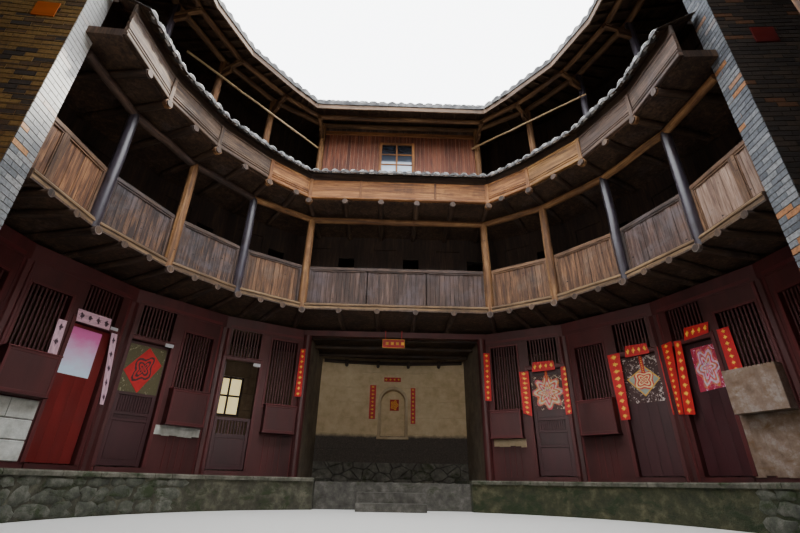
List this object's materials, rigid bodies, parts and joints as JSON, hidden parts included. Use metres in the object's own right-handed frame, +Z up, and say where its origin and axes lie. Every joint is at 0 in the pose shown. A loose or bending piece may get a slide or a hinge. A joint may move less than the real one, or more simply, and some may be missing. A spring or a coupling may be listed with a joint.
{
  "type": "earth roundhouse",
  "caption": "Round rammed-earth communal house with timber galleries, tiled roofs and an ancestral hall around an open courtyard",
  "frame": {"origin": "middle of the courtyard on the ground", "axes": "+Z up, +Y towards the hall, the gateway at -Y, +X to the right when facing the hall"},
  "size_m": [21, 21, 10.555],
  "materials": {
    "earth": "rammed earth, matt, weathered",
    "stone": "rough stone, mossy",
    "brick": "slim fired brick, matt",
    "plaster": "old lime plaster, stained",
    "tile": "grey clay tile, matt",
    "honey_wood": "oiled, weathered",
    "maroon_wood": "oiled, weathered",
    "log_wood": "oiled, weathered",
    "door_wood": "old paint, worn",
    "old_board": "bare board, greyed"
  },
  "bodies": {
    "house": {"balustrade_2_far": "old_board", "fascia_far": "honey_wood", "fascia_near": "honey_wood", "fire_wall_left": "brick", "fire_wall_right": "brick", "floor_2_far": "log_wood", "floor_2_near": "log_wood", "floor_3_far": "log_wood", "floor_3_near": "log_wood", "front_1_left": "maroon_wood", "front_1_right": "maroon_wood", "front_2_left": "maroon_wood", "front_2_right": "maroon_wood", "front_3_left": "maroon_wood", "front_3_right": "maroon_wood", "front_4_left": "maroon_wood", "front_4_right": "maroon_wood", "front_beam_left": "honey_wood", "front_beam_right": "honey_wood", "gallery_2_near": "old_board", "gallery_frame_2_far": "honey_wood", "gallery_frame_3_far": "honey_wood", "gallery_frame_3_near": "honey_wood", "gate_frame": "stone", "gate_leaf_left": "maroon_wood", "gate_leaf_right": "maroon_wood", "hall_floor": "stone", "hall_frame": "honey_wood", "hall_side_wall_left": "plaster", "hall_side_wall_right": "plaster", "hall_steps": "stone", "hall_window_wall": "honey_wood", "main_roof_far": "tile", "main_roof_near": "tile", "near_front_left": "maroon_wood", "near_front_right": "maroon_wood", "outer_wall_back": "earth", "outer_wall_front": "earth", "outer_wall_near_left": "earth", "outer_wall_near_right": "earth", "outer_wall_side_left": "earth", "outer_wall_side_right": "earth", "podium_left": "stone", "podium_right": "stone", "room_fronts_2_far": "old_board", "room_fronts_2_near": "old_board", "room_fronts_3_far": "old_board", "room_fronts_3_near": "old_board", "skirt_beam_far": "honey_wood", "skirt_beam_near": "honey_wood", "skirt_roof_far": "tile", "skirt_roof_near": "tile", "stone_plinth": "stone"},
    "door_left_1": {"door_left_1": "door_wood"},
    "door_left_2": {"door_left_2": "door_wood"},
    "door_left_3": {"door_left_3": "door_wood"},
    "door_right_1": {"door_right_1": "door_wood"},
    "door_right_2": {"door_right_2": "door_wood"},
    "door_right_3": {"door_right_3": "door_wood"},
    "half_gate_left": {"half_gate_left": "door_wood"}
  },
  "joints": [
    {"name": "door_left_1_hinge", "type": "hinge", "parent": "house", "child": "door_left_1", "pos_m": [-3.58321, 4.62911, 0.588], "axis": [0, 0, 1], "range_deg": [-88, 0]},
    {"name": "door_left_2_hinge", "type": "hinge", "parent": "house", "child": "door_left_2", "pos_m": [-4.86006, 3.26311, 0.588], "axis": [0, 0, 1], "range_deg": [0, 95]},
    {"name": "door_left_3_hinge", "type": "hinge", "parent": "house", "child": "door_left_3", "pos_m": [-5.04653, 2.9457, 0.588], "axis": [0, 0, 1], "range_deg": [-95, 0]},
    {"name": "door_right_1_hinge", "type": "hinge", "parent": "house", "child": "door_right_1", "pos_m": [3.58321, 4.62911, 0.588], "axis": [0, 0, 1], "range_deg": [-95, 0]},
    {"name": "door_right_2_hinge", "type": "hinge", "parent": "house", "child": "door_right_2", "pos_m": [4.86006, 3.26311, 0.588], "axis": [0, 0, 1], "range_deg": [-95, 0]},
    {"name": "door_right_3_hinge", "type": "hinge", "parent": "house", "child": "door_right_3", "pos_m": [5.04653, 2.9457, 0.588], "axis": [0, 0, 1], "range_deg": [0, 95]},
    {"name": "half_gate_left_hinge", "type": "hinge", "parent": "house", "child": "half_gate_left", "pos_m": [-3.5233, 4.52514, 0.588], "axis": [0, 0, 1], "range_deg": [-95, 0]}
  ]
}
